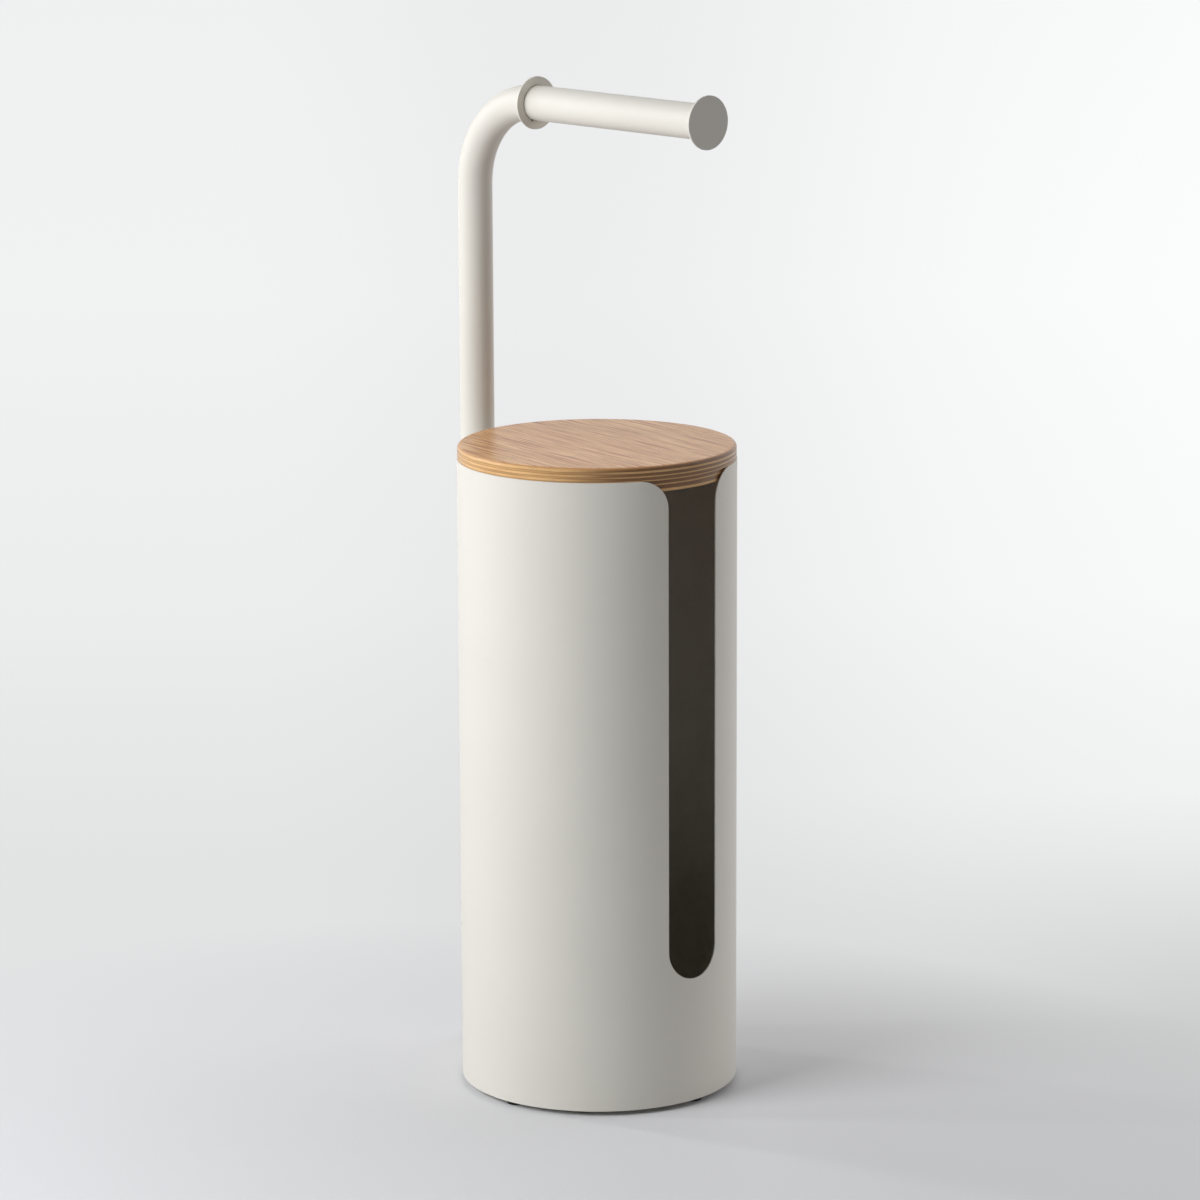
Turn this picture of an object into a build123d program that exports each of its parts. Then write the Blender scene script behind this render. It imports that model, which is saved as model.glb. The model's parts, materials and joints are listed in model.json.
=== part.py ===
from build123d import *
import math
import os

# Free-standing toilet paper stand: a slotted sheet-steel canister for spare rolls with a
# plywood lid, and a bent tube behind it whose level arm carries the roll in use.
# Millimetres, +Z up. The origin is on the floor, on the canister's axis. The slot and the
# arm point to -Y, and the tube's post stands at +Y.

# Canister sheet
canister_radius = 85.0
sheet_thickness = 1.0
sheet_height = 387.5
sheet_edge_radius = 0.3
slot_width = 38.8
slot_sill = 77.2
slot_mouth_radius = 18.0

# Base plate and feet
base_thickness = 3.0
base_recess = 1.0
foot_gap = 3.0
foot_count = 4
foot_diameter = 11.0
foot_inset = 2.0
foot_turn = 5.0
foot_edge_radius = 0.6
foot_stem_diameter = 5.0
foot_tip_diameter = 4.0
foot_barb_diameter = 7.5
foot_barb_height = 3.0
foot_barb_lip = 0.4

# Lid: a cap that rests on the rim, and a narrower drop inside the canister
lid_proud = 8.8
lid_drop = 7.2
lid_inset = 0.3
lid_gap = 0.8
lid_top_radius = 2.2
lid_edge_radius = 0.3

# Bent tube, its ring and its end disc
tube_diameter = 21.3
tube_wall = 2.0
bend_radius = 54.0
arm_height = 601.3
roll_space = 146.9
collar_past_bend = 1.7
flange_diameter = 32.0
flange_thickness = 1.2
flange_edge_radius = 0.2
vent_diameter = 1.8
vent_turn = 22.0

# Plastic plug in the tube's lower end
plug_flange = 2.0
plug_depth = 16.0
plug_rib_count = 3
plug_rib_height = 2.0
plug_core_gap = 0.8

# Stand-offs between canister and post, with their fasteners
stand_off_length = 13.0
stand_off_diameter = 14.0
stand_off_above_floor = 60.0
stand_off_below_rim = 70.0
screw_diameter = 5.0
thread_engagement = 9.7
screw_head_diameter = 9.5
screw_head_height = 2.75
screw_crown_radius = 1.9
screw_socket = 3.0
screw_socket_depth = 1.8
washer_diameter = 10.0
washer_thickness = 1.0
insert_diameter = 9.0
insert_length = 10.0

# Clearances, and the largest share of a sheet's or a cap's thickness that its rounded edge may take
seat_gap = 0.1
thread_gap = 0.05
screw_clearance = 0.3
edge_share = 0.4

# Places and sizes that follow from the values above
inner_radius = canister_radius - sheet_thickness
rim_height = foot_gap + sheet_height
base_underside = foot_gap + base_recess
base_top = base_underside + base_thickness
foot_radius = foot_diameter / 2
foot_circle = inner_radius - foot_inset - foot_radius
tube_radius = tube_diameter / 2
tube_bore_radius = tube_radius - tube_wall
post_y = canister_radius + stand_off_length + tube_radius
post_front = post_y - tube_radius
tube_foot = foot_gap + plug_flange
collar_back_y = post_y - bend_radius - collar_past_bend
arm_end_y = collar_back_y - flange_thickness - roll_space
stand_off_heights = [stand_off_above_floor, rim_height - stand_off_below_rim]
screw_radius = screw_diameter / 2
clear_radius = screw_radius + screw_clearance
washer_back = math.sqrt(inner_radius**2 - (washer_diameter / 2) ** 2) - seat_gap
washer_front = washer_back - washer_thickness


def rod(radius, start, end):
    """A solid cylinder between two points."""
    axis = Vector(*end) - Vector(*start)
    return extrude(Plane(origin=start, z_dir=axis) * Circle(radius), axis.length)


def tube_route(radius):
    """A round bar of this radius along the post, the bend and the arm."""
    route = FilletPolyline(
        (0, post_y, tube_foot),
        (0, post_y, arm_height),
        (0, arm_end_y, arm_height),
        radius=bend_radius,
    )
    return sweep(Pos(0, post_y, tube_foot) * Circle(radius), path=route)


def slot_cutter():
    """What is cut out of the sheet's front: a round-ended slot that flares at the rim."""
    half = slot_width / 2
    sill = foot_gap + slot_sill
    mouth = half + slot_mouth_radius
    above = rim_height + slot_mouth_radius
    shoulder = rim_height - slot_mouth_radius
    outline = Plane.XZ * make_face(
        Polyline((-half, sill + half), (-half, shoulder))
        + CenterArc((-mouth, shoulder), slot_mouth_radius, 0, 90)
        + Polyline((-mouth, rim_height), (-mouth, above), (mouth, above), (mouth, rim_height))
        + CenterArc((mouth, shoulder), slot_mouth_radius, 90, 90)
        + Polyline((half, shoulder), (half, sill + half))
        + CenterArc((0, sill + half), half, 180, 180)
    )
    return extrude(outline, canister_radius + slot_mouth_radius)


def canister_shell():
    ring = Circle(canister_radius) - Circle(inner_radius)
    shell = Pos(0, 0, foot_gap) * extrude(ring, sheet_height)
    shell -= slot_cutter()
    shell = fillet(shell.edges(), min(sheet_edge_radius, edge_share * sheet_thickness))
    for height in stand_off_heights:
        shell -= rod(clear_radius, (0, 0, height), (0, post_y, height))
    return shell


def foot_places():
    return [
        Rot(0, 0, foot_turn + 360 * i / foot_count) * Pos(foot_circle, 0, 0)
        for i in range(foot_count)
    ]


def base_plate():
    plate = Circle(inner_radius - seat_gap)
    for place in foot_places():
        plate -= place * Circle(foot_stem_diameter / 2 + seat_gap)
    return Pos(0, 0, base_underside) * extrude(plate, base_thickness)


def foot(place):
    """A rubber pad with a stem through the plate and a barb above it."""
    stem = foot_stem_diameter / 2
    barb = foot_barb_diameter / 2
    edge = foot_edge_radius
    barb_low = base_top + seat_gap
    barb_top = barb_low + foot_barb_height
    outline = Plane.XZ * make_face(
        Polyline((foot_radius - edge, 0), (0, 0), (0, barb_top), (foot_tip_diameter / 2, barb_top),
                 (barb, barb_low + foot_barb_lip), (barb, barb_low), (stem, barb_low),
                 (stem, base_underside), (foot_radius, base_underside), (foot_radius, edge))
        + CenterArc((foot_radius - edge, edge), edge, 270, 90)
    )
    return place * revolve(outline, Axis.Z)


def lid_board():
    """A disc with a rebate round its lower half, so that it drops in and rests on the rim."""
    cap = extrude(Circle(canister_radius - lid_inset), lid_proud)
    cap = fillet(cap.edges().sort_by(Axis.Z)[-1], min(lid_top_radius, edge_share * lid_proud))
    cap = fillet(cap.edges().sort_by(Axis.Z)[0], lid_edge_radius)
    drop = extrude(Circle(inner_radius - lid_gap), -lid_drop)
    drop = fillet(drop.edges().sort_by(Axis.Z)[0], lid_edge_radius)
    return Pos(0, 0, rim_height) * (cap + drop)


def tube_insert(height):
    """A threaded insert through the post's front wall, flush with the outside of the tube."""
    front = (0, post_front, height)
    back = (0, post_front + insert_length, height)
    body = rod(insert_diameter / 2, front, back) - rod(screw_radius + thread_gap, front, back)
    return body & rod(tube_radius, (0, post_y, 0), (0, post_y, arm_height))


def bent_tube():
    """The post, bend and arm, with holes for the inserts and a vent beside the ring."""
    tube = tube_route(tube_radius) - tube_route(tube_bore_radius)
    for height in stand_off_heights:
        tube -= rod(insert_diameter / 2 + seat_gap, (0, 0, height), (0, post_y, height))
    vent_y = collar_back_y - flange_thickness - vent_diameter / 2
    centre = Vector(0, vent_y, arm_height)
    outside = centre + Vector(0, 0, -tube_diameter).rotate(Axis.Y, vent_turn)
    tube -= rod(vent_diameter / 2, centre, outside)
    return tube


def disc_on_arm(radius, back_y):
    """A thin disc square to the arm, its back face at back_y."""
    return rod(radius, (0, back_y, arm_height), (0, back_y - flange_thickness, arm_height))


def flange(back_y):
    disc = disc_on_arm(flange_diameter / 2, back_y)
    return fillet(disc.edges(), min(flange_edge_radius, edge_share * flange_thickness))


def roll_collar():
    return flange(collar_back_y) - disc_on_arm(tube_radius + seat_gap, collar_back_y)


def roll_end_disc():
    return flange(arm_end_y)


def tube_end_plug():
    """A flanged plug with ribs that grip the tube's bore."""
    core = tube_bore_radius - plug_core_gap
    plug = extrude(Circle(tube_radius), plug_flange)
    plug += extrude(Circle(core), plug_flange + plug_depth)
    pitch = plug_depth / plug_rib_count
    for i in range(plug_rib_count):
        rib = extrude(Circle(tube_bore_radius - seat_gap), plug_rib_height)
        plug += Pos(0, 0, plug_flange + (i + 0.5) * pitch) * rib
    return Pos(0, post_y, foot_gap) * plug


def stand_off(height):
    """A sleeve from the canister's back to the post, its ends shaped to both."""
    sleeve = rod(stand_off_diameter / 2, (0, 0, height), (0, post_y, height))
    sleeve -= rod(clear_radius, (0, 0, height), (0, post_y, height))
    sleeve -= rod(canister_radius + seat_gap, (0, 0, 0), (0, 0, rim_height))
    sleeve -= rod(tube_radius + seat_gap, (0, post_y, 0), (0, post_y, rim_height))
    return sleeve


def stand_off_screw(height):
    """A button-head screw from inside the canister into the tube's insert."""
    head = rod(screw_head_diameter / 2, (0, washer_front, height),
               (0, washer_front - screw_head_height, height))
    crown = head.edges().sort_by(Axis.Y)[0]
    head = fillet(crown, screw_crown_radius)
    socket = RegularPolygon(screw_socket / 2, 6, major_radius=False)
    socket_face = Plane(origin=(0, washer_front - screw_head_height, height), z_dir=(0, 1, 0))
    head -= extrude(socket_face * socket, screw_socket_depth)
    tip = (0, post_front + thread_engagement, height)
    shank = rod(screw_radius, (0, washer_front, height), tip)
    return head + shank


def stand_off_washer(height):
    washer = rod(washer_diameter / 2, (0, washer_front, height), (0, washer_back, height))
    return washer - rod(clear_radius, (0, washer_front, height), (0, washer_back, height))


def save(name, *solids):
    """Write one sub-part; several solids are a group of identical fasteners."""
    shape = Compound(children=solids) if len(solids) > 1 else solids[0]
    export_step(shape, os.path.join("parts", name + ".step"))


def main():
    os.makedirs("parts", exist_ok=True)
    save("canister_shell", canister_shell())
    save("base_plate", base_plate())
    for i, place in enumerate(foot_places()):
        save(f"foot_{i + 1}", foot(place))
    save("lid_board", lid_board())
    save("bent_tube", bent_tube())
    save("roll_collar", roll_collar())
    save("roll_end_disc", roll_end_disc())
    save("tube_end_plug", tube_end_plug())
    for side, height in zip(("lower", "upper"), stand_off_heights):
        save(f"stand_off_{side}", stand_off(height))
    save("tube_inserts", *[tube_insert(height) for height in stand_off_heights])
    save("stand_off_screws", *[stand_off_screw(height) for height in stand_off_heights])
    save("stand_off_washers", *[stand_off_washer(height) for height in stand_off_heights])


main()
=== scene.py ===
"""The toilet paper stand, dressed: camera, light, floor and materials round the CAD frame."""

import json
import math

import bpy
from mathutils import Matrix, Vector


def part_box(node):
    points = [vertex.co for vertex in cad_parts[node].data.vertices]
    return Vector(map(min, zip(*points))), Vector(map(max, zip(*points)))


MM = 0.001

# Camera, fitted to the photograph: degrees, millimetres and pixels of its 1200-pixel frame
CAMERA_AZIMUTH = -43.137
CAMERA_ELEVATION = 12.201
CAMERA_ROLL = -0.237
CAMERA_DISTANCE = 2983.4
CAMERA_AIM_RIGHT = 1.466
CAMERA_AIM_HEIGHT = 301.858
FOCAL_PIXELS = 4892.1
FRAME_PIXELS = 1200
SENSOR_WIDTH = 36.0
NEAREST_SEEN = 0.05
FARTHEST_SEEN = 100.0

# Lid: thickness, depth of the face veneer and of the plies' boundaries below its top, in mm
LID_THICKNESS = 16.0
VENEER_DEPTH = 0.9
PLY_EDGES = (2.5, 3.85, 5.45, 6.5, 8.1, 9.3, 11.0, 12.0, 14.2)
# Share of the thickness within which a glue line darkens its ply boundary
GLUE_WIDTH = 0.014
# How many times the plies' figure changes over the thickness
PLY_FIGURES = 11.5
# How far the plies' boundaries wander up and down in all, in mm
PLY_WANDER = 0.22
# Degrees between the face's grain and the Y axis
GRAIN_ANGLE = 7.8

# Arm at its collar, in mm: height of its axis, tube radius, collar radius, collar's front face
ARM_AXIS_HEIGHT = 601.3
ARM_RADIUS = 10.65
COLLAR_RADIUS = 16.0
COLLAR_FRONT = 51.75
# Distances in mm between which the marks there fade: off the front face, the joint and the vent;
# the front face takes painted light, the joint and the vent painted shade
FACE_FADE = (0.1, 0.3)
JOINT_FADE = (0.15, 0.55)
VENT_FADE = (0.9, 1.4)
VENT_MOUTH = (-4.0, 51.6, 591.45)

# Lamps: metres from the stand's axis and the height they point at, then bearing, height and size
LAMP_REACH = 1.45
LAMP_AIM_HEIGHT = 0.3
KEY_BEARING = -58.5
KEY_HEIGHT = 1.05
KEY_SIZE = (0.90, 1.15)
KEY_POWER = 24.6
KEY_COLOUR = (0.965, 0.975, 1.0)
STRIP_BEARINGS = (-90.0, -116.0)
STRIP_HEIGHT = 1.0
STRIP_SIZE = (0.10, 0.85)
STRIP_POWER = 3.6
STRIP_COLOUR = (0.985, 0.99, 1.0)

# World light: bearing of each wide lobe and its colour, and the cosines between which a lobe fades
LOBES = (
    (180.0, (0.10, 0.08, 0.06)),
    (135.0, (1.40, 1.40, 1.50)),
    (90.0, (0.50, 0.48, 0.44)),
)
LOBE_FADE = (0.3, 1.0)

# Backdrop: its colour, and its share in reflections from the front up to from behind
BACKDROP = (0.895, 0.90, 0.91)
SHINE_FADE = (-0.7, 0.5)
SHINE_SHARE = (0.25, 1.0)

# Backdrop levels against metres behind the stand's axis, at the left and at the right; the lower
# levels at the right are painted light, the key's light falling off away from the left
LEFT_LEVELS = (
    (-0.3, 0.765),
    (0.5, 0.770),
    (0.7, 0.788),
    (1.0, 0.812),
    (1.4, 0.846),
    (3.2, 0.885),
    (7.0, 0.872),
)
RIGHT_LEVELS = (
    (-0.3, 0.604),
    (0.1, 0.615),
    (0.27, 0.69),
    (0.53, 0.82),
    (0.7, 0.885),
    (1.4, 0.947),
    (3.2, 0.973),
    (7.0, 0.956),
)

# Floor disc, in metres: its size, and where its lit part, its dull part and its levels fade
FLOOR_RADIUS = 30.0
FLOOR_SIDES = 96
LIT_FADE = (0.28, 0.60)
LIT_AHEAD = 0.25
LIT_LEFT = 0.10
DULL_FADE = (0.45, 1.6)
HORIZON_FADE = (9.0, 25.0)
# The floor's bearing from the camera, as metres aside over metres ahead, from left to right
CAMERA_REACH = 3.0
TURN_FADE = (-0.02, 0.12)
# The darker middle: its bearing, half width and depth
MIDDLE_TURN = 0.005
MIDDLE_WIDTH = 0.08
MIDDLE_DIP = 0.045
GLOW_TINT = (0.995, 1.0, 1.005)


def add(tree, kind, inputs=None, **settings):
    """A shader node with its settings, and values or sockets on its inputs."""
    node = tree.nodes.new("ShaderNode" + kind)
    for name, value in settings.items():
        setattr(node, name, value)
    for name, value in (inputs or {}).items():
        if isinstance(value, bpy.types.NodeSocket):
            tree.links.new(value, node.inputs[name])
        else:
            node.inputs[name].default_value = value
    return node


def calc(tree, operation, *values):
    """The result of a Math node."""
    return add(tree, "Math", dict(enumerate(values)), operation=operation).outputs[0]


def vector(tree, operation, first, second=None, scale=None):
    """The result of a VectorMath node: a number where its operation gives one, or a vector."""
    inputs = {0: first}
    if second is not None:
        inputs[1] = second
    if scale is not None:
        inputs["Scale"] = scale
    outputs = add(tree, "VectorMath", inputs, operation=operation).outputs
    return outputs["Value" if operation in ("DOT_PRODUCT", "DISTANCE", "LENGTH") else "Vector"]


def apart(tree, value, centre):
    """How far a number is from another."""
    return calc(tree, "ABSOLUTE", calc(tree, "SUBTRACT", value, centre))


def between(tree, share, low, high):
    """A number between low and high."""
    return add(tree, "Mix", {0: share, 2: low, 3: high}).outputs[0]


def span(tree, value, low, high, to_low=0.0, to_high=1.0, smooth=True):
    """Maps low..high to to_low..to_high, held at both ends."""
    inputs = {
        "Value": value,
        "From Min": low,
        "From Max": high,
        "To Min": to_low,
        "To Max": to_high,
    }
    shape = "SMOOTHSTEP" if smooth else "LINEAR"
    return add(tree, "MapRange", inputs, interpolation_type=shape).outputs["Result"]


def mix(tree, share, first, second):
    """A colour between first and second."""
    node = add(tree, "Mix", data_type="RGBA")
    for index, value in {0: share, 6: first, 7: second}.items():
        if isinstance(value, bpy.types.NodeSocket):
            tree.links.new(value, node.inputs[index])
        elif index == 0:
            node.inputs[index].default_value = value
        else:
            node.inputs[index].default_value = (*value, 1.0)
    return node.outputs[2]


def noise(tree, place, per_metre, detail=2.0, roughness=0.5):
    """Noise whose coordinates are the place times per_metre, one number or one for each axis."""
    scale = per_metre
    if isinstance(per_metre, tuple):
        place = vector(tree, "MULTIPLY", place, per_metre)
        scale = 1.0
    inputs = {
        "Vector": place,
        "Scale": scale,
        "Detail": detail,
        "Roughness": roughness,
    }
    return add(tree, "TexNoise", inputs).outputs[0]


def bump(tree, height, distance, strength, normal=None):
    """A bump normal, where height 0..1 stands for 0..distance metres."""
    inputs = {"Height": height, "Distance": distance, "Strength": strength}
    if normal is not None:
        inputs["Normal"] = normal
    return add(tree, "Bump", inputs).outputs[0]


def layer(tree, colour, pattern, low, high, strength, coat):
    """The colour under a coat, its share rising to strength between two levels of a noise."""
    return mix(tree, span(tree, pattern, low, high, 0.0, strength), colour, coat)


def within(tree, value, fade):
    """1 below the first of two distances in mm, fading to 0 at the second."""
    return span(tree, value, fade[0] * MM, fade[1] * MM, 1.0, 0.0)


def start_material(name):
    """A new material with its tree, its Principled shader and the object's own coordinates."""
    material = bpy.data.materials.new(name)
    material.use_nodes = True
    tree = material.node_tree
    shader = tree.nodes["Principled BSDF"]
    place = add(tree, "TexCoord").outputs["Object"]
    return material, tree, shader, place


def connect(tree, shader, **sockets):
    """Links sockets to the shader's inputs, named with _ for a space."""
    for name, socket in sockets.items():
        tree.links.new(socket, shader.inputs[name.replace("_", " ")])


def collar_light_and_shade(tree, place):
    """Where the collar's front face is, for its painted light, and the painted shade where the arm
    meets the collar and at the vent's mouth.
    """
    axes = add(tree, "SeparateXYZ", {0: place}).outputs
    flat = add(tree, "CombineXYZ", {0: axes["X"], 1: 0.0, 2: axes["Z"]}).outputs[0]
    out = vector(tree, "DISTANCE", flat, (0.0, 0.0, ARM_AXIS_HEIGHT * MM))
    along = apart(tree, axes["Y"], COLLAR_FRONT * MM)

    # Painted light: a mask for the collar's front face, which is painted a lighter tone.
    outside_arm = span(tree, out, (ARM_RADIUS + 0.05) * MM, (ARM_RADIUS + 0.25) * MM)
    inside_rim = within(tree, out, (COLLAR_RADIUS - 0.3, COLLAR_RADIUS - 0.1))
    face = calc(tree, "MULTIPLY", outside_arm, within(tree, along, FACE_FADE))
    face = calc(tree, "MULTIPLY", face, inside_rim)

    # Painted shade: a dark band where the arm goes into the collar, and a dark spot at the vent's
    # mouth.
    across = within(tree, apart(tree, out, ARM_RADIUS * MM), JOINT_FADE)
    joint_shade = calc(tree, "MULTIPLY", across, within(tree, along, JOINT_FADE))
    joint_shade = calc(tree, "MULTIPLY", joint_shade, 0.55)
    vent = vector(tree, "DISTANCE", place, tuple(value * MM for value in VENT_MOUTH))
    mouth = calc(tree, "MULTIPLY", within(tree, vent, VENT_FADE), 0.8)
    return face, calc(tree, "MAXIMUM", joint_shade, mouth)


def powder_coat():
    """Off-white powder coat: faint orange peel, fine grain and slow drift of tone, with painted
    light on the collar's front face and painted shade where the arm meets the collar and at the
    vent's mouth.
    """
    material, tree, shader, place = start_material("powder_coat")
    drift = noise(tree, place, 14.0, detail=3.0)
    grain = noise(tree, place, 1900.0, detail=1.0)
    drift = calc(tree, "MULTIPLY", drift, 0.6)
    tone = calc(tree, "ADD", drift, calc(tree, "MULTIPLY", grain, 0.4))
    share = span(tree, tone, 0.3, 0.7, smooth=False)
    colour = mix(tree, share, (0.727, 0.700, 0.632), (0.757, 0.730, 0.662))
    face, painted_shade = collar_light_and_shade(tree, place)
    # Painted light: the collar's front face is painted a lighter tone.
    colour = mix(tree, face, colour, (0.900, 0.860, 0.765))
    # Painted shade: dark where the arm meets the collar and at the vent's mouth.
    colour = mix(tree, painted_shade, colour, (0.200, 0.170, 0.130))
    peel = noise(tree, place, 620.0, roughness=0.45)
    texture = noise(tree, place, 2600.0, detail=1.0)
    normal = bump(tree, peel, 0.05 * MM, 0.55)
    normal = bump(tree, texture, 0.012 * MM, 0.6, normal)
    rough = span(tree, peel, 0.3, 0.7, 0.44, 0.54)
    connect(tree, shader, Base_Color=colour, Roughness=rough, Normal=normal)
    shader.inputs["IOR"].default_value = 1.5
    return material


def oak_face(tree, place):
    """Straight-grained oak veneer, its grain a little off Y: colour, and height of its fibres."""
    turn = {"Vector": place, "Angle": math.radians(GRAIN_ANGLE)}
    place = add(tree, "VectorRotate", turn, rotation_type="Z_AXIS").outputs[0]
    drift = noise(tree, place, (30.0, 4.0, 0.0))
    rings = noise(tree, place, (380.0, 7.0, 0.0), detail=1.0)
    streak = noise(tree, place, (950.0, 17.0, 0.0), detail=1.0)
    fibre = noise(tree, place, (2100.0, 24.0, 0.0), roughness=0.6)
    pores = noise(tree, place, (1500.0, 55.0, 0.0), detail=1.0)
    rays = noise(tree, place, (900.0, 90.0, 0.0), detail=1.0)
    ground = span(tree, drift, 0.35, 0.65)
    veneer = mix(tree, ground, (0.660, 0.360, 0.142), (0.730, 0.415, 0.172))
    veneer = layer(tree, veneer, rings, 0.48, 0.64, 0.50, (0.460, 0.175, 0.040))
    veneer = layer(tree, veneer, streak, 0.52, 0.64, 0.95, (0.370, 0.100, 0.014))
    veneer = layer(tree, veneer, streak, 0.47, 0.34, 0.75, (0.900, 0.560, 0.280))
    veneer = layer(tree, veneer, fibre, 0.52, 0.72, 0.50, (0.330, 0.095, 0.016))
    veneer = layer(tree, veneer, rays, 0.66, 0.74, 0.30, (0.880, 0.600, 0.330))
    pore = span(tree, pores, 0.62, 0.70)
    veneer = mix(tree, calc(tree, "MULTIPLY", pore, 0.6), veneer, (0.200, 0.085, 0.032))
    return veneer, calc(tree, "SUBTRACT", fibre, calc(tree, "MULTIPLY", pore, 1.2))


def grain_along_x(tree, depth, edges):
    """1 in the plies whose grain runs along X and 0 in those along Y, by turns from the top."""
    ramp = add(tree, "ValToRGB", {0: depth})
    ramp.color_ramp.interpolation = "CONSTANT"
    stops = ramp.color_ramp.elements
    stops[0].color = (0, 0, 0, 1)
    stops[1].position = edges[0]
    stops[1].color = (1, 1, 1, 1)
    for number, edge in enumerate(edges[1:]):
        level = number % 2
        stops.new(edge).color = (level, level, level, 1)
    return ramp.outputs["Color"]


def glue_lines(tree, depth, edges):
    """1 near any ply boundary, depth and edges being shares of the thickness."""
    total = None
    for edge in edges:
        line = span(tree, apart(tree, depth, edge), GLUE_WIDTH * 0.4, GLUE_WIDTH, 1.0, 0.0)
        total = line if total is None else calc(tree, "MAXIMUM", total, line)
    return total


def oak_side(tree, place, axes, normals, top):
    """The plies round the edge: pale along the grain, dark across it, and paler facing X, a
    painted light for the light and sheen that fall on the lid's left side.
    """
    wobble = noise(tree, place, (45.0, 45.0, 0.0))
    below = calc(tree, "SUBTRACT", top, axes["Z"])
    wander = calc(tree, "SUBTRACT", wobble, 0.5)
    below = calc(tree, "MULTIPLY_ADD", wander, PLY_WANDER * MM, below)
    depth = calc(tree, "MULTIPLY", below, 1 / (LID_THICKNESS * MM))
    edges = [edge / LID_THICKNESS for edge in PLY_EDGES]
    x_facing = calc(tree, "MULTIPLY", normals["X"], normals["X"])
    y_facing = calc(tree, "MULTIPLY", normals["Y"], normals["Y"])
    end_share = between(tree, grain_along_x(tree, depth, edges), y_facing, x_facing)
    end_grain = span(tree, end_share, 0.05, 0.75)

    ply = calc(tree, "FLOOR", calc(tree, "MULTIPLY", depth, PLY_FIGURES))
    ply_place = add(tree, "CombineXYZ", {0: axes["X"], 1: axes["Y"], 2: ply}).outputs[0]
    figure = span(tree, noise(tree, ply_place, (38.0, 38.0, 7.3)), 0.3, 0.7)
    flecks = noise(tree, place, (160.0, 160.0, 2600.0))
    threads = noise(tree, place, (70.0, 70.0, 5200.0))
    cells = noise(tree, place, 1700.0)
    long_grain = mix(tree, figure, (0.660, 0.390, 0.160), (0.790, 0.490, 0.220))
    long_grain = layer(tree, long_grain, threads, 0.4, 0.75, 0.30, (0.480, 0.260, 0.100))
    cut = mix(tree, figure, (0.215, 0.105, 0.042), (0.290, 0.150, 0.064))
    cut = layer(tree, cut, cells, 0.4, 0.7, 0.45, (0.140, 0.062, 0.024))
    # Painted light: end grain facing X is made paler, for the light and sheen on the lid's left
    # side.
    painted_light_cut = mix(tree, figure, (0.540, 0.310, 0.122), (0.650, 0.385, 0.160))
    painted_light_cut = layer(tree, painted_light_cut, cells, 0.4, 0.7, 0.45, (0.400, 0.215, 0.080))
    cut = mix(tree, span(tree, x_facing, 0.35, 0.85), cut, painted_light_cut)

    side = mix(tree, end_grain, long_grain, cut)
    side = layer(tree, side, flecks, 0.60, 0.72, 0.35, (0.180, 0.085, 0.038))
    glue = glue_lines(tree, depth, edges)
    side = mix(tree, calc(tree, "MULTIPLY", glue, 0.50), side, (0.150, 0.060, 0.020))
    skin = within(tree, below, (VENEER_DEPTH - 0.12, VENEER_DEPTH + 0.05))
    skin_colour = mix(tree, end_grain, (0.560, 0.290, 0.115), (0.330, 0.150, 0.056))
    side = mix(tree, skin, side, skin_colour)
    height = calc(tree, "ADD", calc(tree, "MULTIPLY", cells, 0.7), threads)
    return side, end_grain, calc(tree, "SUBTRACT", height, glue)


def oak_plywood(top):
    """Lacquered oak plywood: the face veneer where it faces up, the plies round its edge."""
    material, tree, shader, place = start_material("oak_plywood")
    axes = add(tree, "SeparateXYZ", {0: place}).outputs
    facing = add(tree, "TexCoord").outputs["Normal"]
    normals = add(tree, "SeparateXYZ", {0: facing}).outputs
    veneer, face_height = oak_face(tree, place)
    side, end_grain, side_height = oak_side(tree, place, axes, normals, top)
    on_face = span(tree, calc(tree, "ABSOLUTE", normals["Z"]), 0.86, 0.99)
    colour = mix(tree, on_face, side, veneer)
    rough = between(tree, on_face, span(tree, end_grain, 0.0, 1.0, 0.50, 0.62), 0.60)
    height = between(tree, on_face, side_height, face_height)
    normal = bump(tree, height, 0.03 * MM, 0.6)
    lacquer = bump(tree, height, 0.01 * MM, 0.35)
    connect(tree, shader, Base_Color=colour, Roughness=rough, Normal=normal, Coat_Normal=lacquer)
    shader.inputs["IOR"].default_value = 1.5
    shader.inputs["Specular IOR Level"].default_value = 0.2
    shader.inputs["Coat Weight"].default_value = 0.60
    shader.inputs["Coat Roughness"].default_value = 0.27
    shader.inputs["Coat IOR"].default_value = 1.5
    return material


def black_rubber():
    """Matte black rubber with a fine moulded skin and a little dust."""
    material, tree, shader, place = start_material("black_rubber")
    dust = noise(tree, place, 260.0, detail=3.0)
    skin = noise(tree, place, 2400.0)
    dusty = span(tree, dust, 0.35, 0.75)
    colour = mix(tree, dusty, (0.014, 0.014, 0.014), (0.030, 0.029, 0.027))
    rough = span(tree, skin, 0.3, 0.7, 0.62, 0.80)
    normal = bump(tree, skin, 0.03 * MM, 0.7)
    connect(tree, shader, Base_Color=colour, Roughness=rough, Normal=normal)
    return material


def black_plastic():
    """Moulded black plastic with a spark-eroded grain."""
    material, tree, shader, place = start_material("black_plastic")
    grain = noise(tree, place, 1500.0)
    drift = span(tree, noise(tree, place, 90.0), 0.3, 0.7)
    colour = mix(tree, drift, (0.020, 0.020, 0.021), (0.028, 0.028, 0.029))
    rough = span(tree, grain, 0.3, 0.7, 0.42, 0.56)
    normal = bump(tree, grain, 0.04 * MM, 0.7)
    connect(tree, shader, Base_Color=colour, Roughness=rough, Normal=normal)
    return material


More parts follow.
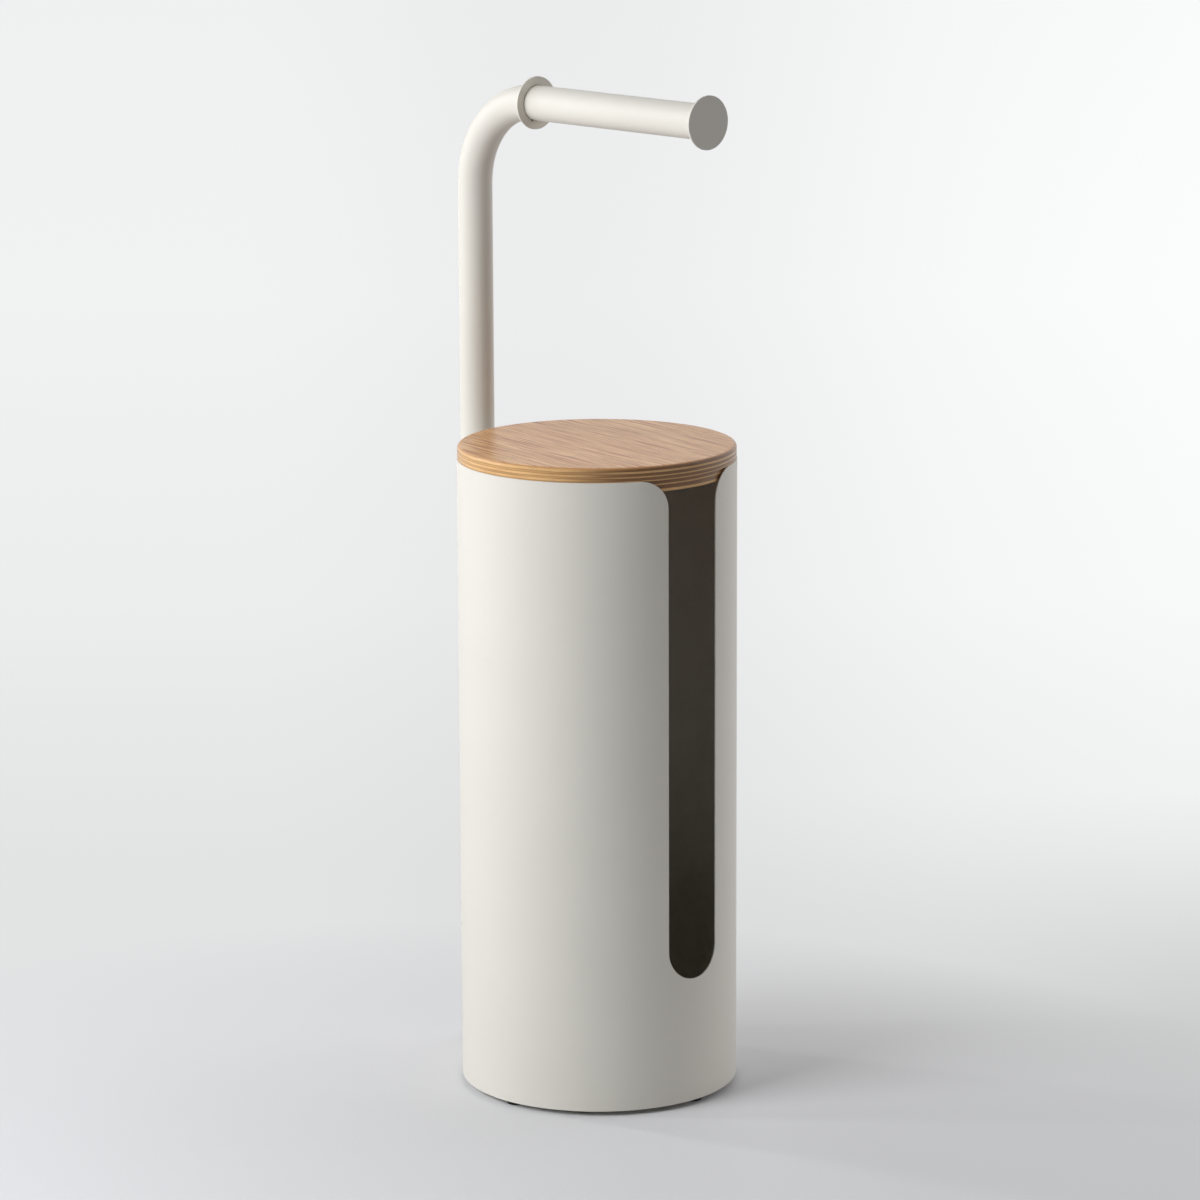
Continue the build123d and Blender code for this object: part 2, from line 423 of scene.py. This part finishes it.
def zinc_steel():
    """Bright zinc plated steel with fine turning marks and a cloudy film."""
    material, tree, shader, place = start_material("zinc_steel")
    cloud = noise(tree, place, 420.0, detail=3.0)
    marks = noise(tree, place, (2500.0, 300.0, 2500.0))
    film = span(tree, cloud, 0.3, 0.7)
    colour = mix(tree, film, (0.56, 0.57, 0.59), (0.68, 0.69, 0.70))
    rough = span(tree, cloud, 0.3, 0.7, 0.24, 0.38)
    normal = bump(tree, marks, 0.01 * MM, 0.5)
    connect(tree, shader, Base_Color=colour, Roughness=rough, Normal=normal)
    shader.inputs["Metallic"].default_value = 1.0
    return material


def dress(frame):
    """Gives each CAD node its slot's material."""
    made = {
        "painted_steel": powder_coat(),
        "oak_plywood": oak_plywood(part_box("lid_board")[1][2]),
        "black_rubber": black_rubber(),
        "black_plastic": black_plastic(),
        "zinc_steel": zinc_steel(),
    }
    for subpart in frame["record"]["subparts"]:
        node = frame["nodes"][subpart["node"]]
        for slot in node.material_slots:
            slot.material = made[subpart["material_slot"]]


def camera_axes():
    """The camera's right, up and backward directions before its roll."""
    azimuth = math.radians(CAMERA_AZIMUTH)
    elevation = math.radians(CAMERA_ELEVATION)
    level = Vector((math.sin(azimuth), -math.cos(azimuth), 0.0))
    back = level * math.cos(elevation) + Vector((0.0, 0.0, math.sin(elevation)))
    right = Vector((math.cos(azimuth), math.sin(azimuth), 0.0))
    return right, back.cross(right), back


def make_camera():
    """The camera of the photograph."""
    right, up, back = camera_axes()
    roll = math.radians(CAMERA_ROLL)
    turned_right = right * math.cos(roll) + up * math.sin(roll)
    turned_up = up * math.cos(roll) - right * math.sin(roll)
    aim = right * CAMERA_AIM_RIGHT * MM + Vector((0.0, 0.0, CAMERA_AIM_HEIGHT * MM))
    place = aim + back * CAMERA_DISTANCE * MM
    data = bpy.data.cameras.new("camera")
    data.sensor_width = SENSOR_WIDTH
    data.lens = FOCAL_PIXELS / FRAME_PIXELS * SENSOR_WIDTH
    data.clip_start = NEAREST_SEEN
    data.clip_end = FARTHEST_SEEN
    camera = bpy.data.objects.new("camera", data)
    turn = Matrix((turned_right, turned_up, back)).transposed()
    camera.matrix_world = Matrix.Translation(place) @ turn.to_4x4()
    bpy.context.scene.collection.objects.link(camera)
    bpy.context.scene.camera = camera


def bearing(degrees):
    """A level direction, by its angle to the right of straight towards the camera."""
    right = camera_axes()[0]
    front = Vector((right.y, -right.x, 0.0))
    angle = math.radians(degrees)
    return front * math.cos(angle) + right * math.sin(angle)


def add_softbox(name, angle, height, size, power, colour, shines=True):
    """A lamp at that bearing, aimed at the stand; the camera never sees it, gloss if it shines."""
    data = bpy.data.lights.new(name, "AREA")
    data.shape = "RECTANGLE"
    data.size, data.size_y = size
    data.energy = power
    data.color = colour
    lamp = bpy.data.objects.new(name, data)
    place = bearing(angle) * LAMP_REACH + Vector((0.0, 0.0, height))
    aim = Vector((0.0, 0.0, LAMP_AIM_HEIGHT)) - place
    turn = aim.to_track_quat("-Z", "Y").to_matrix().to_4x4()
    lamp.matrix_world = Matrix.Translation(place) @ turn
    lamp.visible_camera = False
    lamp.visible_glossy = shines
    bpy.context.scene.collection.objects.link(lamp)


def light_studio():
    """The large soft key at the left, and two strips further back for the stand's sheen."""
    add_softbox("key", KEY_BEARING, KEY_HEIGHT, KEY_SIZE, KEY_POWER, KEY_COLOUR, shines=False)
    for number, angle in enumerate(STRIP_BEARINGS):
        name = f"strip_{number}"
        add_softbox(name, angle, STRIP_HEIGHT, STRIP_SIZE, STRIP_POWER, STRIP_COLOUR)


def seen_directly(tree):
    """1 for rays that show the backdrop itself: camera, glossy and transmission rays."""
    path = add(tree, "LightPath").outputs
    seen = calc(tree, "MAXIMUM", path["Is Camera Ray"], path["Is Glossy Ray"])
    return calc(tree, "MAXIMUM", seen, path["Is Transmission Ray"])


def make_world():
    """Soft light from behind and from the right, and a pale backdrop to look at."""
    world = bpy.data.worlds.new("studio")
    world.use_nodes = True
    bpy.context.scene.world = world
    tree = world.node_tree
    tree.nodes.clear()
    direction = add(tree, "TexCoord").outputs["Generated"]
    total = None
    for angle, colour in LOBES:
        level = span(tree, vector(tree, "DOT_PRODUCT", direction, bearing(angle)), *LOBE_FADE)
        tinted = vector(tree, "SCALE", colour, scale=level)
        total = tinted if total is None else vector(tree, "ADD", total, tinted)
    light = add(tree, "Background", {"Color": total, "Strength": 1.0}).outputs[0]
    rear = vector(tree, "DOT_PRODUCT", direction, bearing(180.0))
    shine = span(tree, rear, *SHINE_FADE, *SHINE_SHARE)
    glossy = add(tree, "LightPath").outputs["Is Glossy Ray"]
    strength = between(tree, glossy, 1.0, shine)
    pale = {"Color": (*BACKDROP, 1.0), "Strength": strength}
    pale = add(tree, "Background", pale).outputs[0]
    shown = add(tree, "MixShader", {0: seen_directly(tree), 1: light, 2: pale}).outputs[0]
    add(tree, "OutputWorld", {"Surface": shown})


def level_ramp(tree, value, stops):
    """A grey level for value, through pairs of value and level, straight between them."""
    low = stops[0][0]
    high = stops[-1][0]
    ramp = add(tree, "ValToRGB", {0: span(tree, value, low, high, smooth=False)})
    elements = ramp.color_ramp.elements
    for number, (at, level) in enumerate(stops):
        position = (at - low) / (high - low)
        element = elements[number] if number < 2 else elements.new(position)
        element.position = position
        element.color = (level, level, level, 1.0)
    return ramp.outputs["Color"]


def backdrop_glow(tree, aside, behind, away):
    """The far floor's colour: its levels from left to right, painted darker to the right where the
    key's light falls off, the darker middle, the horizon.
    """
    ahead = calc(tree, "MAXIMUM", calc(tree, "ADD", behind, CAMERA_REACH), 0.5)
    turn = calc(tree, "DIVIDE", aside, ahead)
    rightness = span(tree, turn, *TURN_FADE, smooth=False)
    # Painted light: the right levels are darker than the left, where the key's light falls off
    # towards the right.
    left_level = level_ramp(tree, behind, LEFT_LEVELS)
    right_level = level_ramp(tree, behind, RIGHT_LEVELS)
    level = between(tree, rightness, left_level, right_level)
    middle = span(tree, apart(tree, turn, MIDDLE_TURN), 0.0, MIDDLE_WIDTH, MIDDLE_DIP, 0.0)
    level = calc(tree, "SUBTRACT", level, middle)
    glow = vector(tree, "SCALE", GLOW_TINT, scale=level)
    return mix(tree, span(tree, away, *HORIZON_FADE), glow, BACKDROP)


def pale_floor():
    """Paper that takes the stand's shadow near by and turns into the backdrop far off."""
    material, tree, shader, place = start_material("pale_floor")
    right = camera_axes()[0]
    rear = bearing(180.0)
    aside = vector(tree, "DOT_PRODUCT", place, right)
    behind = vector(tree, "DOT_PRODUCT", place, rear)
    away = vector(tree, "LENGTH", place)
    reach = vector(tree, "DISTANCE", place, rear * -LIT_AHEAD - right * LIT_LEFT)
    fade = span(tree, reach, *LIT_FADE, smooth=False)
    seen = seen_directly(tree)

    paper = span(tree, noise(tree, place, 900.0), 0.3, 0.7)
    lit = mix(tree, paper, (0.750, 0.755, 0.765), (0.770, 0.775, 0.785))
    unseen = calc(tree, "SUBTRACT", 1.0, seen)
    dull = calc(tree, "MULTIPLY", span(tree, away, *DULL_FADE), unseen)
    connect(tree, shader, Base_Color=mix(tree, dull, lit, (0.30, 0.30, 0.30)))
    shader.inputs["Roughness"].default_value = 0.55
    shader.inputs["Specular IOR Level"].default_value = 0.3

    glow = {"Color": backdrop_glow(tree, aside, behind, away), "Strength": 1.0}
    glow = add(tree, "Emission", glow).outputs[0]
    share = calc(tree, "MULTIPLY", fade, seen)
    shown = add(tree, "MixShader", {0: share, 1: shader.outputs[0], 2: glow}).outputs[0]
    tree.links.new(shown, tree.nodes["Material Output"].inputs["Surface"])
    return material


def make_floor():
    """A wide round floor."""
    turns = [2 * math.pi * number / FLOOR_SIDES for number in range(FLOOR_SIDES)]
    rim = [(FLOOR_RADIUS * math.cos(turn), FLOOR_RADIUS * math.sin(turn), 0.0) for turn in turns]
    mesh = bpy.data.meshes.new("floor")
    mesh.from_pydata(rim, [], [list(range(FLOOR_SIDES))])
    mesh.materials.append(pale_floor())
    floor = bpy.data.objects.new("floor", mesh)
    bpy.context.scene.collection.objects.link(floor)


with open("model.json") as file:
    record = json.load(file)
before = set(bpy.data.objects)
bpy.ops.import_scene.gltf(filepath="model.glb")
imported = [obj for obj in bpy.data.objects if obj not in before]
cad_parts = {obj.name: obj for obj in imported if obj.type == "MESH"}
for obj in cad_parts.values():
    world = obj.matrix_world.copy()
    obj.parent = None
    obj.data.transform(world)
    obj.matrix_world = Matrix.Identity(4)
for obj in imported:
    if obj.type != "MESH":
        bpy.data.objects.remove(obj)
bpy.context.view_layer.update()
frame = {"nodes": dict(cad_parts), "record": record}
bpy.context.scene.view_settings.view_transform = "Standard"
make_camera()
make_world()
make_floor()
light_studio()
dress(frame)
